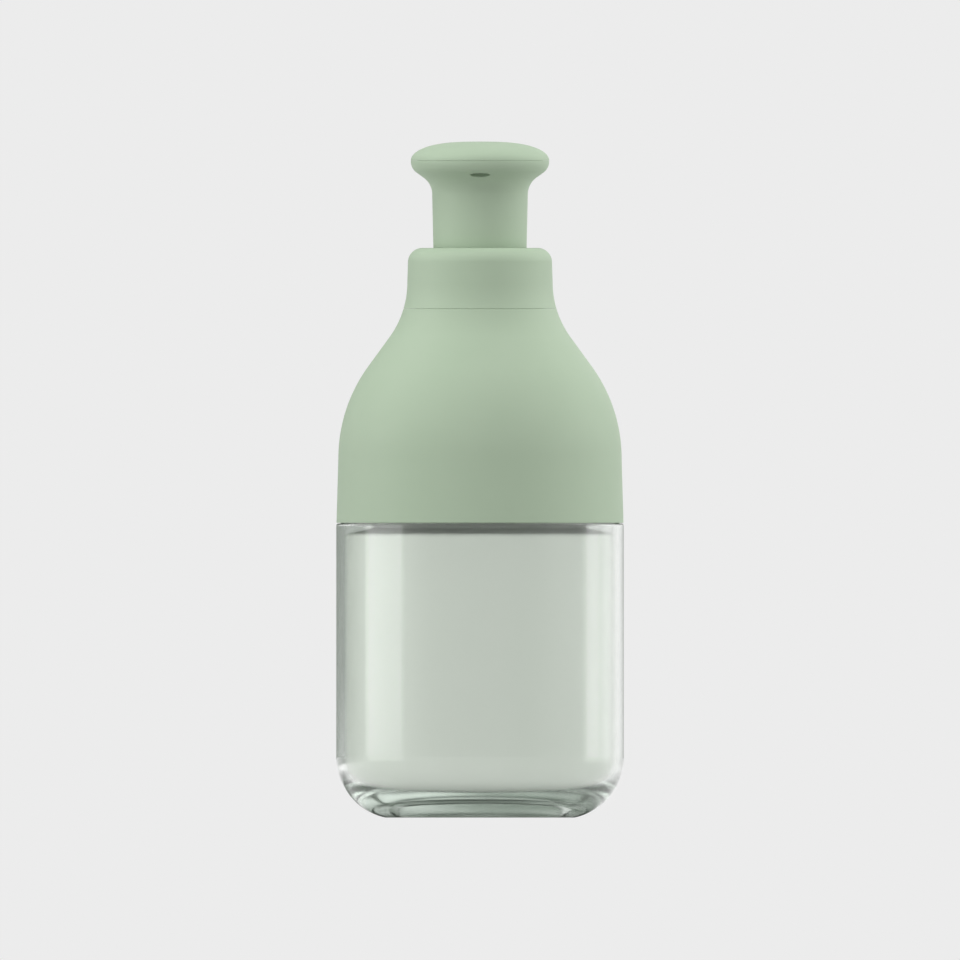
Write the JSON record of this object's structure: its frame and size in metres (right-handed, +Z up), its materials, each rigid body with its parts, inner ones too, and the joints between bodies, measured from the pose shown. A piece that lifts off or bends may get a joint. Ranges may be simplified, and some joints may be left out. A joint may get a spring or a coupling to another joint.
{
  "type": "body wash bottle",
  "caption": "Round body wash bottle with a clear double-wall base, a soft shoulder cover, a screw collar and a press pump whose mushroom head dispenses from under its rim.",
  "frame": {"origin": "centre of the foot, on the surface that the bottle stands on", "axes": "+Z up along the pump's axis, -Y towards the side that the nozzle faces at rest, +X to the right of that view"},
  "size_m": [0.07, 0.07, 0.1646],
  "materials": {
    "clear_shell": "clear, polished",
    "pale_bottle": "satin",
    "sage": "matte",
    "natural": "satin",
    "foam": "matte",
    "seal": "soft, matte",
    "steel": "bright"
  },
  "bodies": {
    "bottle": {"outer_shell": "clear_shell", "inner_bottle": "pale_bottle", "shoulder_cover": "sage"},
    "pump_body": {"neck_gasket": "foam", "pump_housing": "natural", "chaplet": "natural", "stem_wiper": "seal", "ball_cage": "natural", "dip_tube": "natural", "return_spring": "steel"},
    "closure": {"closure_cap": "natural", "collar": "sage"},
    "plunger": {"stem": "natural", "piston": "natural", "piston_retainer": "natural"},
    "head": {"actuator": "sage", "head_cap": "sage", "nozzle_insert": "sage"},
    "inlet_valve": {"inlet_ball": "steel"},
    "outlet_valve": {"outlet_ball": "steel"}
  },
  "joints": [
    {"name": "pump_lift", "type": "slide", "parent": "bottle", "child": "pump_body", "axis": [0, 0, 1], "range_m": [0, 0.00635]},
    {"name": "closure_turn", "type": "hinge", "parent": "pump_body", "child": "closure", "pos_m": [0, 0, 0.115], "axis": [0, 0, 1], "range_deg": [0, 540]},
    {"name": "pump_press", "type": "slide", "parent": "pump_body", "child": "plunger", "axis": [0, 0, -1], "range_m": [0, 0.011], "stiffness_N_per_m": 600, "springref_m": -0.008, "deforming": ["return_spring"]},
    {"name": "head_swivel", "type": "hinge", "parent": "plunger", "child": "head", "pos_m": [0, 0, 0.1437], "axis": [0, 0, 1], "continuous": true},
    {"name": "inlet_ball_lift", "type": "slide", "parent": "pump_body", "child": "inlet_valve", "axis": [0, 0, 1], "range_m": [0, 0.002]},
    {"name": "outlet_ball_lift", "type": "slide", "parent": "plunger", "child": "outlet_valve", "axis": [0, 0, 1], "range_m": [0, 0.002]}
  ],
  "couplings": [
    {"joint": "closure_turn", "follows": "pump_lift", "rad_per_m": 1484.2}
  ]
}
